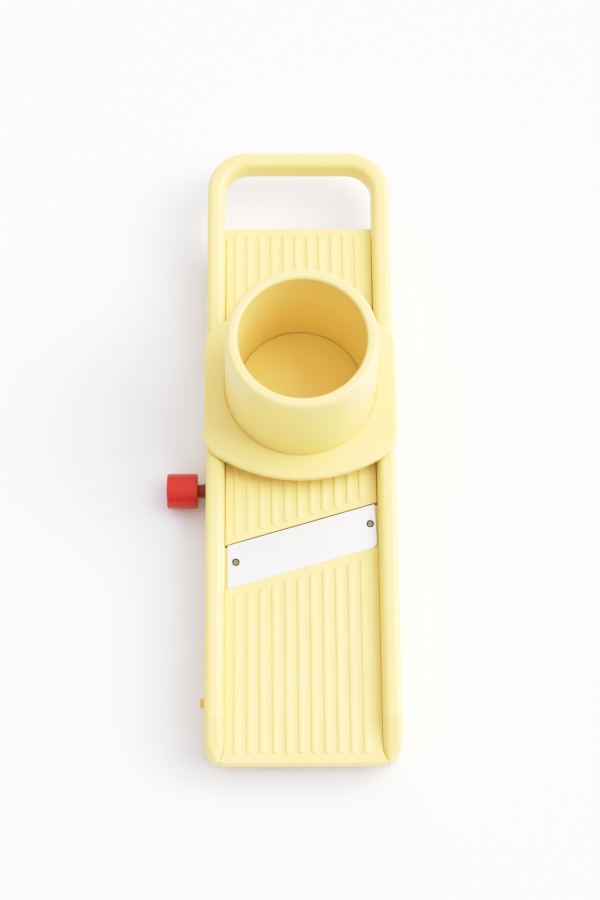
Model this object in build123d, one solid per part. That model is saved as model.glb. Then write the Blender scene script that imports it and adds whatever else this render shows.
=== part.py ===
from build123d import *
import math
import os

# Mandoline slicer, in millimetres. +Z is up, +Y points to the handle, +X is right with the handle at the top.
# The origin is the middle of the body's footprint, on the flat underside of its centre tie.

# Body moulding
body_length = 319.2
body_width = 93.0
body_height = 28.0
rail_width = 9.25
wall = 2.4
web = 2.4
web_spacing = 45.0
tail_web_reach = 4.5
tail_corner_radius = 21.0
nose_corner_radius = 11.0
rail_outer_round = 3.0
rail_inner_round = 4.0

# Handle loop at the far end
handle_bar_width = 9.0
handle_bar_height = 12.0
finger_gap = 31.6
finger_gap_corner = 13.0
handle_round = 3.0
tail_rise = 16.0

# Nose, where the rails slope down to the landing plate
ramp_length = 21.0
nose_thickness = 5.0
nose_undercut = 6.0
mouth_flare_radius = 9.0
mouth_flare_length = 8.0
nose_round = 1.2

# Plates between the rails
channel_depth = 8.0
plate_thickness = 2.6
plate_side_gap = 0.3
rib_count = 11
rib_width = 2.15
rib_height = 0.5
rib_corner = 0.8
rib_left_margin = 5.55
rib_right_margin = 7.95
landing_rib_nose_margin = 5.5
landing_rib_blade_margin = 5.0
run_up_rib_tail_margin = 4.0
run_up_rib_throat_margin = 3.5
plate_stiffener_width = 2.0
plate_stiffener_depth = 2.6
plate_stiffener_tail_gap = 34.0

# Blade and its bed on the landing plate
landing_length = 117.8
blade_slant = 16.5
blade_width = 20.9
blade_thickness = 1.2
blade_proud = 0.3
blade_bevel = 2.6
blade_left_gap = 1.5
blade_right_gap = 0.6
blade_end_lean = 0.9
blade_corner = 3.0
blade_edge_corner = 0.6
throat_gap = 0.8
blade_overhang = 8.0
ear_width = 10.0
ear_setback = 0.4
ear_length = 17.0
ear_depth = 3.7
blade_screw_radius = 1.0
blade_screw_head_radius = 1.95
blade_screw_sink = 0.1
blade_screw_length = 7.4
blade_screw_slot = 0.6
blade_left_screw_inset = 3.9
blade_right_screw_inset = 3.15
blade_screw_setback = 9.4
blade_nut_radius = 2.3
blade_nut_height = 1.6

# Ledges, ties and the landing plate's cross pin
ledge_width = 2.2
ledge_height = 3.0
centre_tie_width = 16.0
centre_tie_height = 4.0
tail_tie_width = 5.0
tail_tie_height = 8.0
tail_tie_gap = 17.0
nose_tie_width = 6.0
nose_tie_height = 5.4
landing_pin_radius = 1.8
landing_pin_head_radius = 2.4
landing_pin_head_length = 2.4
landing_pin_head_round = 0.6
landing_pin_drop = 4.4
landing_pin_setback = 31.0
lug_width = 6.0
lug_wall = 1.5
landing_lug_inset = 8.0

# Run-up plate hinge
pivot_radius = 1.5
pivot_running_gap = 0.05
pivot_setback = 5.0
pivot_drop = 3.4
pivot_lug_inset = 19.25
spring_wire = 1.0
spring_leg_radius = 0.42
spring_turns = 7
spring_pin_gap = 0.3
spring_inset = 4.0
spring_leg_to_plate = 3.8
spring_leg_to_peg = 11.0
peg_size = 2.4
peg_reach = 7.0

# Thickness adjuster: knob, cross shaft, two cams, click wheel
shaft_setback = 21.3
shaft_level = 10.0
shaft_radius = 2.5
shaft_running_gap = 0.05
bush_wall = 1.6
cam_gap = 0.3
cam_small_radius = 3.4
cam_width = 6.0
cam_inset = 13.25
cam_turn = 240.0
cam_flank_turn = 300.0
cam_spiral_points = 25
cam_hub_length = 4.0
cam_hub_radius = 3.3
cam_pin_radius = 0.6
click_wheel_radius = 5.5
click_wheel_width = 2.6
click_count = 12
click_notch_radius = 0.7
click_gap = 0.3
click_spring_thickness = 0.5
click_spring_side_gap = 0.3
click_room = 22.0
clip_thickness = 0.8
clip_radius = 4.0
clip_groove_depth = 0.5
shaft_end_gap = 0.3
knob_radius = 8.65
knob_length = 15.1
knob_round = 1.0
knob_socket_depth = 10.0
collar_length = 3.9
collar_small_radius = 3.3
collar_large_radius = 3.7
collar_gap = 0.3
knob_screw_radius = 1.25
knob_screw_head_radius = 2.6
knob_screw_head_height = 1.8
knob_screw_length = 9.0
knob_screw_slot = 0.8

# Hand guard
guard_setback = 69.4
guard_overhang = 1.0
guard_lift = 0.3
flange_half_length = 47.2
flange_end_radius = 74.0
flange_corner_radius = 14.0
flange_thickness = 3.5
flange_top_round = 1.6
flange_bottom_round = 1.0
cup_offset = 2.5
cup_height = 57.0
cup_wall = 5.6
cup_flare = 1.3
cup_draft = 0.8
rim_outer_round = 2.2
rim_inner_round = 1.6
cup_foot_round = 1.5
guard_side_gap = 0.85
skirt_wall = 5.2
skirt_gap = 1.1
floor_lip = 0.8
floor_lip_reach = 1.6
floor_thickness = 2.0
floor_edge_gap = 0.1
guard_pin_radius = 0.75
guard_pin_depth = 1.2
guard_pin_tip_radius = 0.15
guard_pin_clearance = 0.4
guard_pin_edge = 8.0
guard_pin_ring_gap = 11.0
guard_pin_counts = (10, 5)

# How far a cutting body runs past the face it cuts, and how close two equal places are
overcut = 1.0
tiny = 0.01

# Places worked out from the sizes above
nose_y = -body_length / 2
tail_y = body_length / 2
half_body = body_width / 2
half_channel = half_body - rail_width
plate_top = body_height - channel_depth
plate_under = plate_top - plate_thickness
blade_top = plate_top + blade_proud
blade_under = blade_top - blade_thickness
cut_y = nose_y + landing_length
slope = math.tan(math.radians(blade_slant))
blade_span_y = blade_width / math.cos(math.radians(blade_slant))
run_up_tail_y = tail_y - handle_bar_width - finger_gap
pivot_y = run_up_tail_y - pivot_setback
pivot_z = plate_under - pivot_drop
shaft_y = cut_y + shaft_setback
landing_pin_y = nose_y + landing_pin_setback
landing_pin_z = plate_under - landing_pin_drop
cam_large_radius = plate_under - cam_gap - shaft_level
cam_place = half_channel - cam_inset
rail_inside = half_body - wall
channel_side_of_rail = half_channel + wall
ear_under = blade_under - ear_depth
bush_radius = shaft_radius + shaft_running_gap + bush_wall
guard_y = cut_y + guard_setback
guard_under = body_height + guard_lift
skirt_radius = half_channel - guard_side_gap
floor_room_radius = skirt_radius - skirt_wall
skirt_under = plate_top + rib_height + skirt_gap
floor_under = skirt_under + floor_lip


def cut_line(x, offset=0.0):
    """Y of a line along the blade's cutting edge, moved by offset towards the handle."""
    return cut_y + x * slope + offset


def block(x0, x1, y0, y1, z0, z1):
    """A box between two corners."""
    return Pos((x0 + x1) / 2, (y0 + y1) / 2, (z0 + z1) / 2) * Box(x1 - x0, y1 - y0, z1 - z0)


def rod(radius, x0, x1, y, z):
    """A round bar lying along X."""
    return Pos((x0 + x1) / 2, y, z) * Rot(0, 90, 0) * Cylinder(radius, x1 - x0)


def upright(sketch, z0, z1):
    """A flat outline raised from z0 to z1."""
    return extrude(Pos(0, 0, z0) * sketch, z1 - z0, dir=(0, 0, 1))


def slanted_strip(x0, x1, near_offset, far_offset):
    """A strip between x0 and x1, bounded by two lines parallel to the cutting edge."""
    corners = [(x0, cut_line(x0, near_offset)), (x1, cut_line(x1, near_offset)),
               (x1, cut_line(x1, far_offset)), (x0, cut_line(x0, far_offset))]
    return Polygon(*corners, align=None)


def body_outline():
    """The body seen from above, with wide corners at the handle and small ones at the nose."""
    outline = Rectangle(body_width, body_length)
    tail = outline.vertices().group_by(Axis.Y)[-1]
    outline = fillet(tail, tail_corner_radius)
    nose = outline.vertices().group_by(Axis.Y)[0]
    return fillet(nose, nose_corner_radius)


def channel_outline():
    """The space between the rails, from the handle bar to the mouth that flares at the nose."""
    inner_tail = tail_y - handle_bar_width
    straight = Pos(0, (inner_tail + nose_y) / 2) * Rectangle(2 * half_channel, inner_tail - nose_y)
    straight = fillet(straight.vertices().group_by(Axis.Y)[-1], finger_gap_corner)
    start_y = nose_y + mouth_flare_length
    mouth = straight
    for side in (-1, 1):
        corner = Pos(side * (half_channel + mouth_flare_radius / 2), start_y - mouth_flare_radius / 2)
        square = corner * Rectangle(mouth_flare_radius, mouth_flare_radius)
        round_off = Pos(side * (half_channel + mouth_flare_radius), start_y) * Circle(mouth_flare_radius)
        mouth += square - round_off
    return mouth


def side_profile():
    """The body seen from the side: flat underside, lifted handle, sloped nose."""
    handle_under = body_height - handle_bar_height
    lift_y = run_up_tail_y + handle_round
    points = [(nose_y + nose_undercut, 0), (lift_y - tail_rise, 0), (lift_y, handle_under),
              (tail_y, handle_under), (tail_y, body_height), (nose_y + ramp_length, body_height),
              (nose_y, plate_top), (nose_y, plate_top - nose_thickness)]
    return Plane.YZ * Polygon(*points, align=None)


def rail_webs(side):
    """Solid stretches of one rail, as pairs of Y values from the nose to the tail."""
    pin_room = landing_pin_head_radius + wall
    pin_web = (landing_pin_y - pin_room, landing_pin_y + pin_room)
    if side < 0:
        bush_room = bush_radius + wall
        shaft_webs = [(shaft_y - bush_room, shaft_y + bush_room)]
    else:
        half_room = click_room / 2
        shaft_webs = [(shaft_y - half_room - web, shaft_y - half_room),
                      (shaft_y + half_room, shaft_y + half_room + web)]
    nose_web = (nose_y, nose_y + ramp_length)
    tail_web = (pivot_y - tail_web_reach, tail_y)
    main_webs = [nose_web, pin_web] + shaft_webs + [tail_web]
    webs = [nose_web]
    for before, after in zip(main_webs, main_webs[1:]):
        spare = after[0] - before[1]
        extra = int(spare // web_spacing)
        for i in range(1, extra + 1):
            middle = before[1] + spare * i / (extra + 1)
            webs.append((middle - web / 2, middle + web / 2))
        webs.append(after)
    return webs


def rail_pockets():
    """The hollows in the underside of both rails, between their webs."""
    pockets = []
    for side in (-1, 1):
        webs = rail_webs(side)
        inner, outer = sorted((side * channel_side_of_rail, side * rail_inside))
        for before, after in zip(webs, webs[1:]):
            if after[0] - before[1] > web:
                pockets.append(block(inner, outer, before[1], after[0], -overcut, body_height - wall))
    return pockets


def outer_top_edges(shape):
    """Edges round the upper faces of the uncut body, all but the crease at the head of each ramp."""
    chosen = []
    for edge in shape.edges():
        box = edge.bounding_box()
        is_crease = box.size.Y < tiny and abs(box.min.Y - nose_y - ramp_length) < tiny
        if box.min.Z > plate_top - tiny and not is_crease:
            chosen.append(edge)
    return chosen


def handle_under_edges(shape):
    """Lower edges of the lifted handle loop."""
    level = body_height - handle_bar_height
    past_lift = run_up_tail_y + 2 * handle_round
    chosen = []
    for edge in shape.edges():
        box = edge.bounding_box()
        if abs(box.min.Z - level) < tiny and box.size.Z < tiny and box.max.Y > past_lift:
            chosen.append(edge)
    return chosen


def inner_round_section(side):
    """What rounding takes off a rail's inner top edge, drawn across the rail."""
    radius = rail_inner_round
    square = Pos(side * (half_channel + radius / 2), body_height - radius / 2) * Rectangle(radius, radius)
    section = square - Pos(side * (half_channel + radius), body_height - radius) * Circle(radius)
    return Pos(0, nose_y + ramp_length, 0) * (Plane.XZ * section)


def inner_rounding():
    """The rounding's waste, carried round the channel and down both ramps."""
    start_y = nose_y + ramp_length
    inner_tail = tail_y - handle_bar_width
    path = FilletPolyline((-half_channel, start_y, body_height), (-half_channel, inner_tail, body_height),
                          (half_channel, inner_tail, body_height), (half_channel, start_y, body_height),
                          radius=finger_gap_corner)
    waste = sweep(inner_round_section(-1), path)
    down = (0, -ramp_length, -channel_depth)
    for side in (-1, 1):
        waste += extrude(inner_round_section(side), math.hypot(ramp_length, channel_depth), dir=down)
    return waste


def make_frame():
    """Both rails, the handle loop and the ties, moulded as one piece."""
    shell = upright(body_outline(), 0, body_height) & extrude(side_profile(), half_body, both=True)
    shell = fillet(outer_top_edges(shell), rail_outer_round)
    shell = shell - upright(channel_outline(), -overcut, body_height + overcut)
    shell = fillet(handle_under_edges(shell), handle_round)
    shell = shell - inner_rounding()
    for pocket in rail_pockets():
        shell = shell - pocket
    shell = shell + frame_ties() + frame_ledges() + spring_pegs()
    shell = shell - rod(bush_radius, -half_body - overcut, -half_channel + overcut, shaft_y, shaft_level)
    right_wall = (half_channel - overcut, channel_side_of_rail + overcut)
    shell = shell - rod(bush_radius, *right_wall, shaft_y, shaft_level)
    shell = shell - rod(pivot_radius, -rail_inside, half_body + overcut, pivot_y, pivot_z)
    return shell - rod(landing_pin_radius, -half_body - overcut, rail_inside, landing_pin_y, landing_pin_z)


def frame_ties():
    """Bars under the plates that join the rails."""
    centre_half = centre_tie_width / 2
    centre = block(-half_channel, half_channel, -centre_half, centre_half, 0, centre_tie_height)
    tail_near = pivot_y - tail_tie_gap
    tail = block(-half_channel, half_channel, tail_near, tail_near + tail_tie_width, 0, tail_tie_height)
    nose_near = nose_y + nose_undercut
    nose = block(-half_channel, half_channel, nose_near, nose_near + nose_tie_width,
                 plate_under - nose_tie_height, plate_under)
    return centre + tail + nose


def frame_ledges():
    """Shelves on the rails' inner walls that carry the landing plate."""
    ledges = []
    for side in (-1, 1):
        inner, outer = sorted((side * half_channel, side * (half_channel - ledge_width)))
        near = nose_y + nose_undercut
        far = cut_line(inner, -ear_setback - ear_length)
        ledges.append(block(inner, outer, near, far, plate_under - ledge_height, plate_under))
    return ledges[0] + ledges[1]


def spring_pegs():
    """Stubs on the rails' inner walls that the hinge springs push up against."""
    leg_top = pivot_z - coil_radius() + spring_leg_radius
    far = pivot_y - spring_leg_to_peg + peg_size
    pegs = []
    for side in (-1, 1):
        inner, outer = sorted((side * half_channel, side * (half_channel - peg_reach)))
        pegs.append(block(inner, outer, far - peg_size, far, leg_top, leg_top + peg_size))
    return pegs[0] + pegs[1]


def rib_places():
    """X of each rib on the plates, the same on both."""
    first = -half_channel + rib_left_margin
    last = half_channel - rib_right_margin
    return [first + (last - first) * i / (rib_count - 1) for i in range(rib_count)]


def rib(x, y0, y1):
    """One low raised rib with softened ends."""
    outline = Pos(x, (y0 + y1) / 2) * RectangleRounded(rib_width, y1 - y0, rib_corner)
    return upright(outline, plate_top - rib_height, plate_top + rib_height)


def lug(x, y, z, radius, top):
    """A rounded ear below a plate, wrapped round a cross pin."""
    eye = rod(radius, x - lug_width / 2, x + lug_width / 2, y, z)
    return eye + block(x - lug_width / 2, x + lug_width / 2, y - radius, y + radius, z, top)


def make_landing_plate():
    """Ribbed plate behind the blade, with the blade's bed, two ears under its ends and the nose lip."""
    room = channel_outline() & body_outline()
    behind = slanted_strip(-half_body, half_body, -body_length, -blade_overhang)
    sheet = upright(room & behind, plate_under, plate_top)
    lip_strip = Pos(0, nose_y + nose_undercut / 2) * Rectangle(body_width, nose_undercut)
    plate = sheet + upright(room & lip_strip, plate_top - nose_thickness, plate_top)
    for side in (-1, 1):
        x0, x1 = sorted((side * half_channel, side * (half_channel - ear_width)))
        ear = slanted_strip(x0, x1, -ear_setback - ear_length, -ear_setback)
        plate += upright(ear, ear_under, plate_top)
        plate += lug(side * (half_channel - landing_lug_inset), landing_pin_y, landing_pin_z,
                     landing_pin_radius + lug_wall, plate_under)
    bed = slanted_strip(-half_channel, half_channel, -blade_span_y, blade_overhang)
    plate = plate - upright(bed, blade_under, body_height)
    for x in rib_places():
        rib_end = cut_line(x, -blade_span_y - landing_rib_blade_margin)
        plate += rib(x, nose_y + landing_rib_nose_margin, rib_end)
    plate = plate - rod(landing_pin_radius, -half_body, half_body, landing_pin_y, landing_pin_z)
    for x, y in blade_screw_places():
        plate = plate - Pos(x, y, ear_under) * Cylinder(blade_screw_radius, 4 * ear_depth)
    lip_edges = [e for e in plate.edges() if abs(e.center().Y - nose_y) < tiny and e.length > half_body]
    return fillet(lip_edges, nose_round)


def blade_screw_places():
    """X and Y of the two blade screws."""
    left = -half_channel + blade_left_gap + blade_left_screw_inset
    right = half_channel - blade_right_gap - blade_right_screw_inset
    return [(x, cut_line(x, -blade_screw_setback)) for x in (left, right)]


def make_blade():
    """Slanted steel blade, ground from below along its far edge."""
    left = -half_channel + blade_left_gap
    right = half_channel - blade_right_gap
    lean = right - blade_end_lean
    outline = Polygon((left, cut_line(left)), (lean, cut_line(lean)), (right, cut_line(right, -blade_span_y)),
                      (left, cut_line(left, -blade_span_y)), align=None)
    heel = outline.vertices().sort_by(Axis.Y)[0:2].sort_by(Axis.X)
    wide_corner = (right, cut_line(right, -blade_span_y))
    outline = fillet(outline.vertices().sort_by_distance(wide_corner)[0], blade_corner)
    outline = fillet(outline.vertices().sort_by_distance(heel[0])[0], blade_edge_corner)
    blade = upright(outline, blade_under, blade_top)
    ramp = Polygon((0, blade_top), (-blade_bevel, blade_under), (0, blade_under), align=None)
    grind = extrude(Plane.YZ * ramp, 2 * body_width, both=True)
    turn = Pos(0, cut_y, 0) * Rot(0, 0, blade_slant)
    blade = blade - turn * grind
    for x, y in blade_screw_places():
        seat_depth = blade_screw_head_radius - blade_screw_radius
        blade = blade - Pos(x, y, blade_under) * Cylinder(blade_screw_radius, 4 * blade_thickness)
        seat = Cone(blade_screw_radius, blade_screw_head_radius, seat_depth)
        blade = blade - Pos(x, y, blade_top - blade_screw_sink - seat_depth / 2) * seat
        mouth = Cylinder(blade_screw_head_radius, 2 * blade_screw_sink)
        blade = blade - Pos(x, y, blade_top) * mouth
    return blade


def make_blade_screws():
    """Two countersunk screws that clamp the blade to the ears."""
    screws = []
    head_height = blade_screw_head_radius - blade_screw_radius
    top = blade_top - blade_screw_sink
    for x, y in blade_screw_places():
        shank = Pos(x, y, top - blade_screw_length / 2) * Cylinder(blade_screw_radius, blade_screw_length)
        taper = Cone(blade_screw_radius, blade_screw_head_radius, head_height)
        head = Pos(x, y, top - head_height / 2) * taper
        slot = Pos(x, y, top) * Box(2 * blade_screw_head_radius, blade_screw_slot, blade_screw_slot)
        screws.append(shank + head - slot)
    return Compound(children=screws)


def make_blade_nuts():
    """Two hexagon nuts under the ears."""
    nuts = []
    for x, y in blade_screw_places():
        outline = RegularPolygon(blade_nut_radius, 6) - Circle(blade_screw_radius)
        nuts.append(upright(Pos(x, y) * outline, ear_under - blade_nut_height, ear_under))
    return Compound(children=nuts)


def make_landing_pin():
    """Moulded pin with a round head, pushed through both rails and the landing plate's lugs."""
    shank = rod(landing_pin_radius, -half_body, rail_inside, landing_pin_y, landing_pin_z)
    head = rod(landing_pin_head_radius, -half_body - landing_pin_head_length, -half_body,
               landing_pin_y, landing_pin_z)
    pin = shank + head
    outer_rim = pin.edges().filter_by(GeomType.CIRCLE).sort_by(Axis.X)[0]
    return fillet(outer_rim, landing_pin_head_round)


def make_run_up_plate():
    """Ribbed plate in front of the blade, hinged near the handle and carried by the cams."""
    half = half_channel - plate_side_gap
    sheet = Polygon((-half, cut_line(-half, throat_gap)), (half, cut_line(half, throat_gap)),
                    (half, run_up_tail_y), (-half, run_up_tail_y), align=None)
    plate = upright(sheet, plate_under, plate_top)
    lowest = plate_under - plate_stiffener_depth
    throat_rib = slanted_strip(-half, half, throat_gap, throat_gap + plate_stiffener_width)
    plate += upright(throat_rib, lowest, plate_under)
    for side in (-1, 1):
        x0, x1 = sorted((side * half, side * (half - plate_stiffener_width)))
        plate += block(x0, x1, centre_tie_width / 2, pivot_y - plate_stiffener_tail_gap, lowest, plate_under)
        lug_x = side * (half_channel - pivot_lug_inset)
        plate += lug(lug_x, pivot_y, pivot_z, pivot_radius + lug_wall, plate_under)
    for x in rib_places():
        rib_start = cut_line(x, throat_gap + run_up_rib_throat_margin)
        plate += rib(x, rib_start, run_up_tail_y - run_up_rib_tail_margin)
    return plate - rod(pivot_radius + pivot_running_gap, -half_body, half_body, pivot_y, pivot_z)


def make_pivot_pin():
    """Steel hinge pin of the run-up plate, held in both rails."""
    return rod(pivot_radius, -rail_inside, half_body, pivot_y, pivot_z)


def coil_radius():
    """Mean radius of a hinge spring's coil."""
    return pivot_radius + spring_pin_gap + spring_wire / 2


def make_hinge_springs():
    """Two torsion springs round the hinge pin, which press the run-up plate down on the cams."""
    springs = []
    coil_length = spring_turns * spring_wire
    mean = coil_radius()
    for side in (-1, 1):
        outer_x = side * (half_channel - spring_inset)
        inner_x = outer_x - side * coil_length
        x0, x1 = sorted((outer_x, inner_x))
        coil = rod(mean + spring_wire / 2, x0, x1, pivot_y, pivot_z)
        coil = coil - rod(mean - spring_wire / 2, x0 - overcut, x1 + overcut, pivot_y, pivot_z)
        near_leg = Rot(90, 0, 0) * Cylinder(spring_leg_radius, spring_leg_to_peg)
        near_x = outer_x - side * spring_wire / 2
        coil += Pos(near_x, pivot_y - spring_leg_to_peg / 2, pivot_z - mean) * near_leg
        far_leg = Rot(90, 0, 0) * Cylinder(spring_leg_radius, spring_leg_to_plate)
        far_x = inner_x + side * spring_wire / 2
        coil += Pos(far_x, pivot_y + spring_leg_to_plate / 2, pivot_z + mean) * far_leg
        springs.append(coil)
    return Compound(children=springs)


def ring(outer, inner, x0, x1):
    """A sleeve on the adjuster's axis."""
    bore = rod(inner, x0 - overcut, x1 + overcut, shaft_y, shaft_level)
    return rod(outer, x0, x1, shaft_y, shaft_level) - bore


def make_left_bush():
    """Plain bearing right through the left rail."""
    return ring(bush_radius, shaft_radius + shaft_running_gap, -half_body, -half_channel)


def make_right_bush():
    """Plain bearing in the right rail's inner wall."""
    return ring(bush_radius, shaft_radius + shaft_running_gap, half_channel, channel_side_of_rail)


def knob_inner_x():
    """X of the knob's face next to the collar."""
    return -half_body - collar_gap - collar_length


def click_wheel_start():
    """X of the click wheel's face next to the right rail's inner wall."""
    return channel_side_of_rail + shaft_end_gap


def make_adjust_shaft():
    """Steel cross shaft with a groove for its clip, cross holes for the cam pins and a tapped knob end."""
    left = knob_inner_x() - knob_socket_depth
    right = rail_inside - shaft_end_gap
    shaft = rod(shaft_radius, left, right, shaft_y, shaft_level)
    groove_start = click_wheel_start() + click_wheel_width
    groove_end = groove_start + clip_thickness
    groove = ring(shaft_radius + overcut, shaft_radius - clip_groove_depth, groove_start, groove_end)
    shaft = shaft - groove
    tapped = rod(knob_screw_radius, left - overcut, left + knob_screw_reach(), shaft_y, shaft_level)
    shaft = shaft - tapped
    for hole in cam_pin_rods(shaft_radius + overcut):
        shaft = shaft - hole
    return shaft


def knob_screw_reach():
    """How far the knob's screw goes into the shaft."""
    floor_left = knob_length - knob_socket_depth - knob_screw_head_height
    return knob_screw_length - floor_left


def cam_hub_x(side):
    """X of the middle of one cam's hub, on the side towards the slicer's middle."""
    return side * (cam_place - cam_width / 2 - cam_hub_length / 2)


def cam_pin_rods(half_length):
    """The two cross pins of the cam hubs, each along Y through the shaft."""
    pin = Rot(90, 0, 0) * Cylinder(cam_pin_radius, 2 * half_length)
    return [Pos(cam_hub_x(side), shaft_y, shaft_level) * pin for side in (-1, 1)]


def make_cam_pins():
    """Steel pins that lock the cams to the shaft."""
    return Compound(children=cam_pin_rods(cam_hub_radius))


def cam_outline():
    """Spiral cam: its radius falls evenly over the knob's whole turn, then a short flank climbs back."""
    fall = cam_large_radius - cam_small_radius
    steps = cam_spiral_points - 1
    flank = math.radians(cam_flank_turn)
    points = []
    for i in range(steps + 1):
        turn = math.radians(cam_turn) * i / steps
        radius = cam_large_radius - fall * i / steps
        points.append((radius * math.sin(turn), radius * math.cos(turn)))
    spiral = Spline(*points)
    low = points[-1]
    low_end = (cam_small_radius * math.sin(flank), cam_small_radius * math.cos(flank))
    low_middle_turn = (math.radians(cam_turn) + flank) / 2
    low_middle = (cam_small_radius * math.sin(low_middle_turn), cam_small_radius * math.cos(low_middle_turn))
    low_arc = ThreePointArc(low, low_middle, low_end)
    back = Line(low_end, points[0])
    return make_face([spiral, low_arc, back])


def make_cam(side):
    """One cam with its hub, bored for the shaft and cross drilled for its pin."""
    start = side * cam_place - cam_width / 2
    face = Plane((start, shaft_y, shaft_level), x_dir=(0, 1, 0), z_dir=(1, 0, 0))
    lobe = extrude(face * cam_outline(), cam_width)
    hub_start = cam_hub_x(side) - cam_hub_length / 2
    hub = rod(cam_hub_radius, hub_start, hub_start + cam_hub_length, shaft_y, shaft_level)
    cam = lobe + hub - rod(shaft_radius, -half_body, half_body, shaft_y, shaft_level)
    for hole in cam_pin_rods(cam_hub_radius + overcut):
        cam = cam - hole
    return cam


def make_click_wheel():
    """Notched wheel inside the right rail, one notch for each thickness setting."""
    start = click_wheel_start()
    wheel = ring(click_wheel_radius, shaft_radius, start, start + click_wheel_width)
    for i in range(click_count):
        turn = math.radians(360 * i / click_count)
        notch_y = shaft_y + click_wheel_radius * math.sin(turn)
        notch_z = shaft_level + click_wheel_radius * math.cos(turn)
        end = start + click_wheel_width
        wheel = wheel - rod(click_notch_radius, start - overcut, end + overcut, notch_y, notch_z)
    return wheel


def make_click_spring():
    """Leaf spring between two webs of the right rail, with a rounded nose over the click wheel."""
    under = shaft_level + click_wheel_radius + click_gap + click_notch_radius
    x0 = channel_side_of_rail + click_spring_side_gap
    x1 = rail_inside - click_spring_side_gap
    half_room = click_room / 2
    leaf = block(x0, x1, shaft_y - half_room, shaft_y + half_room, under, under + click_spring_thickness)
    nose = rod(click_notch_radius, x0, x1, shaft_y, under)
    return leaf + nose


def make_shaft_clip():
    """Open clip in the shaft's groove, which keeps the click wheel on."""
    start = click_wheel_start() + click_wheel_width
    clip = ring(clip_radius, shaft_radius - clip_groove_depth, start, start + clip_thickness)
    end = start + clip_thickness
    half_mouth = shaft_radius - clip_groove_depth
    mouth = block(start - overcut, end + overcut, shaft_y - half_mouth, shaft_y + half_mouth,
                  shaft_level - 2 * clip_radius, shaft_level)
    return clip - mouth


def make_knob():
    """Round red knob with a socket for the shaft and a recess for its screw."""
    inner = knob_inner_x()
    outer = inner - knob_length
    knob = rod(knob_radius, outer, inner, shaft_y, shaft_level)
    knob = fillet(knob.edges().filter_by(GeomType.CIRCLE), knob_round)
    knob = knob - rod(shaft_radius, inner - knob_socket_depth, inner + overcut, shaft_y, shaft_level)
    knob = knob - rod(knob_screw_radius, outer - overcut, inner, shaft_y, shaft_level)
    recess_end = outer + knob_screw_head_height
    return knob - rod(knob_screw_head_radius, outer - overcut, recess_end, shaft_y, shaft_level)


def make_knob_screw():
    """Screw through the knob's end into the shaft."""
    outer = knob_inner_x() - knob_length
    under_head = outer + knob_screw_head_height
    head = rod(knob_screw_head_radius, outer, under_head, shaft_y, shaft_level)
    screw = head + rod(knob_screw_radius, under_head, under_head + knob_screw_length, shaft_y, shaft_level)
    slot = Box(knob_screw_head_height, 2 * knob_screw_head_radius + overcut, knob_screw_slot)
    return screw - Pos(outer, shaft_y, shaft_level) * slot


def make_collar():
    """Dark collar between the knob and the rail, wider towards the rail."""
    inner = knob_inner_x()
    taper = Cone(collar_small_radius, collar_large_radius, collar_length)
    collar = Pos(inner + collar_length / 2, shaft_y, shaft_level) * Rot(0, 90, 0) * taper
    return collar - rod(shaft_radius, inner - overcut, inner + collar_length + overcut, shaft_y, shaft_level)


def flange_outline():
    """Guard flange seen from above: straight sides, bowed front and rear, round corners."""
    half = half_body + guard_overhang
    bow = flange_end_radius - math.sqrt(flange_end_radius ** 2 - half ** 2)
    corner_y = flange_half_length - bow
    front = ThreePointArc((-half, -corner_y), (0, -flange_half_length), (half, -corner_y))
    right = Line((half, -corner_y), (half, corner_y))
    rear = ThreePointArc((half, corner_y), (0, flange_half_length), (-half, corner_y))
    left = Line((-half, corner_y), (-half, -corner_y))
    outline = make_face([front, right, rear, left])
    return fillet(outline.vertices(), flange_corner_radius)


def cup_body():
    """The cup's outer form, a slightly tapered drum with a rounded rim, standing on the flange."""
    inner = floor_room_radius - cup_draft
    rim_radius = inner + cup_wall
    base = guard_under + flange_thickness
    top = base + cup_height
    profile = Polygon((inner, base - flange_thickness), (rim_radius + cup_flare, base - flange_thickness),
                      (rim_radius + cup_flare, base), (rim_radius, top), (inner, top), align=None)
    rim = profile.vertices().sort_by(Axis.Y)[-2:].sort_by(Axis.X)
    profile = fillet(profile.vertices().sort_by_distance(rim[1])[0], rim_outer_round)
    profile = fillet(profile.vertices().sort_by_distance(rim[0])[0], rim_inner_round)
    return revolve(Plane.XZ * profile, Axis.Z)


def make_guard_shell():
    """Hand guard: flange that rides on the rails, cup for the fingers and skirt between the rails."""
    flange = upright(flange_outline(), guard_under, guard_under + flange_thickness)
    flange = fillet(flange.edges().group_by(Axis.Z)[-1], flange_top_round)
    flange = fillet(flange.edges().group_by(Axis.Z)[0], flange_bottom_round)
    place = Pos(0, cup_offset, 0)
    skirt = place * upright(Circle(skirt_radius), skirt_under, guard_under + flange_thickness)
    solid = flange + skirt + place * cup_body()
    foot_level = guard_under + flange_thickness
    foot_radius = floor_room_radius - cup_draft + cup_wall + cup_flare
    foot = [e for e in solid.edges().filter_by(GeomType.CIRCLE)
            if abs(e.center().Z - foot_level) < tiny and abs(e.radius - foot_radius) < tiny]
    solid = fillet(foot, cup_foot_round)
    lip_radius = floor_room_radius - floor_lip_reach
    room_top = guard_under + flange_thickness
    room = upright(Circle(floor_room_radius), floor_under, guard_under)
    taper = Cone(floor_room_radius, floor_room_radius - cup_draft, flange_thickness + cup_height)
    bore = Pos(0, 0, room_top + (cup_height - flange_thickness) / 2) * taper
    opening = upright(Circle(lip_radius), skirt_under - overcut, floor_under)
    solid = solid - place * (room + opening)
    return Pos(0, guard_y - cup_offset, 0) * (solid - place * bore)


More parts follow.
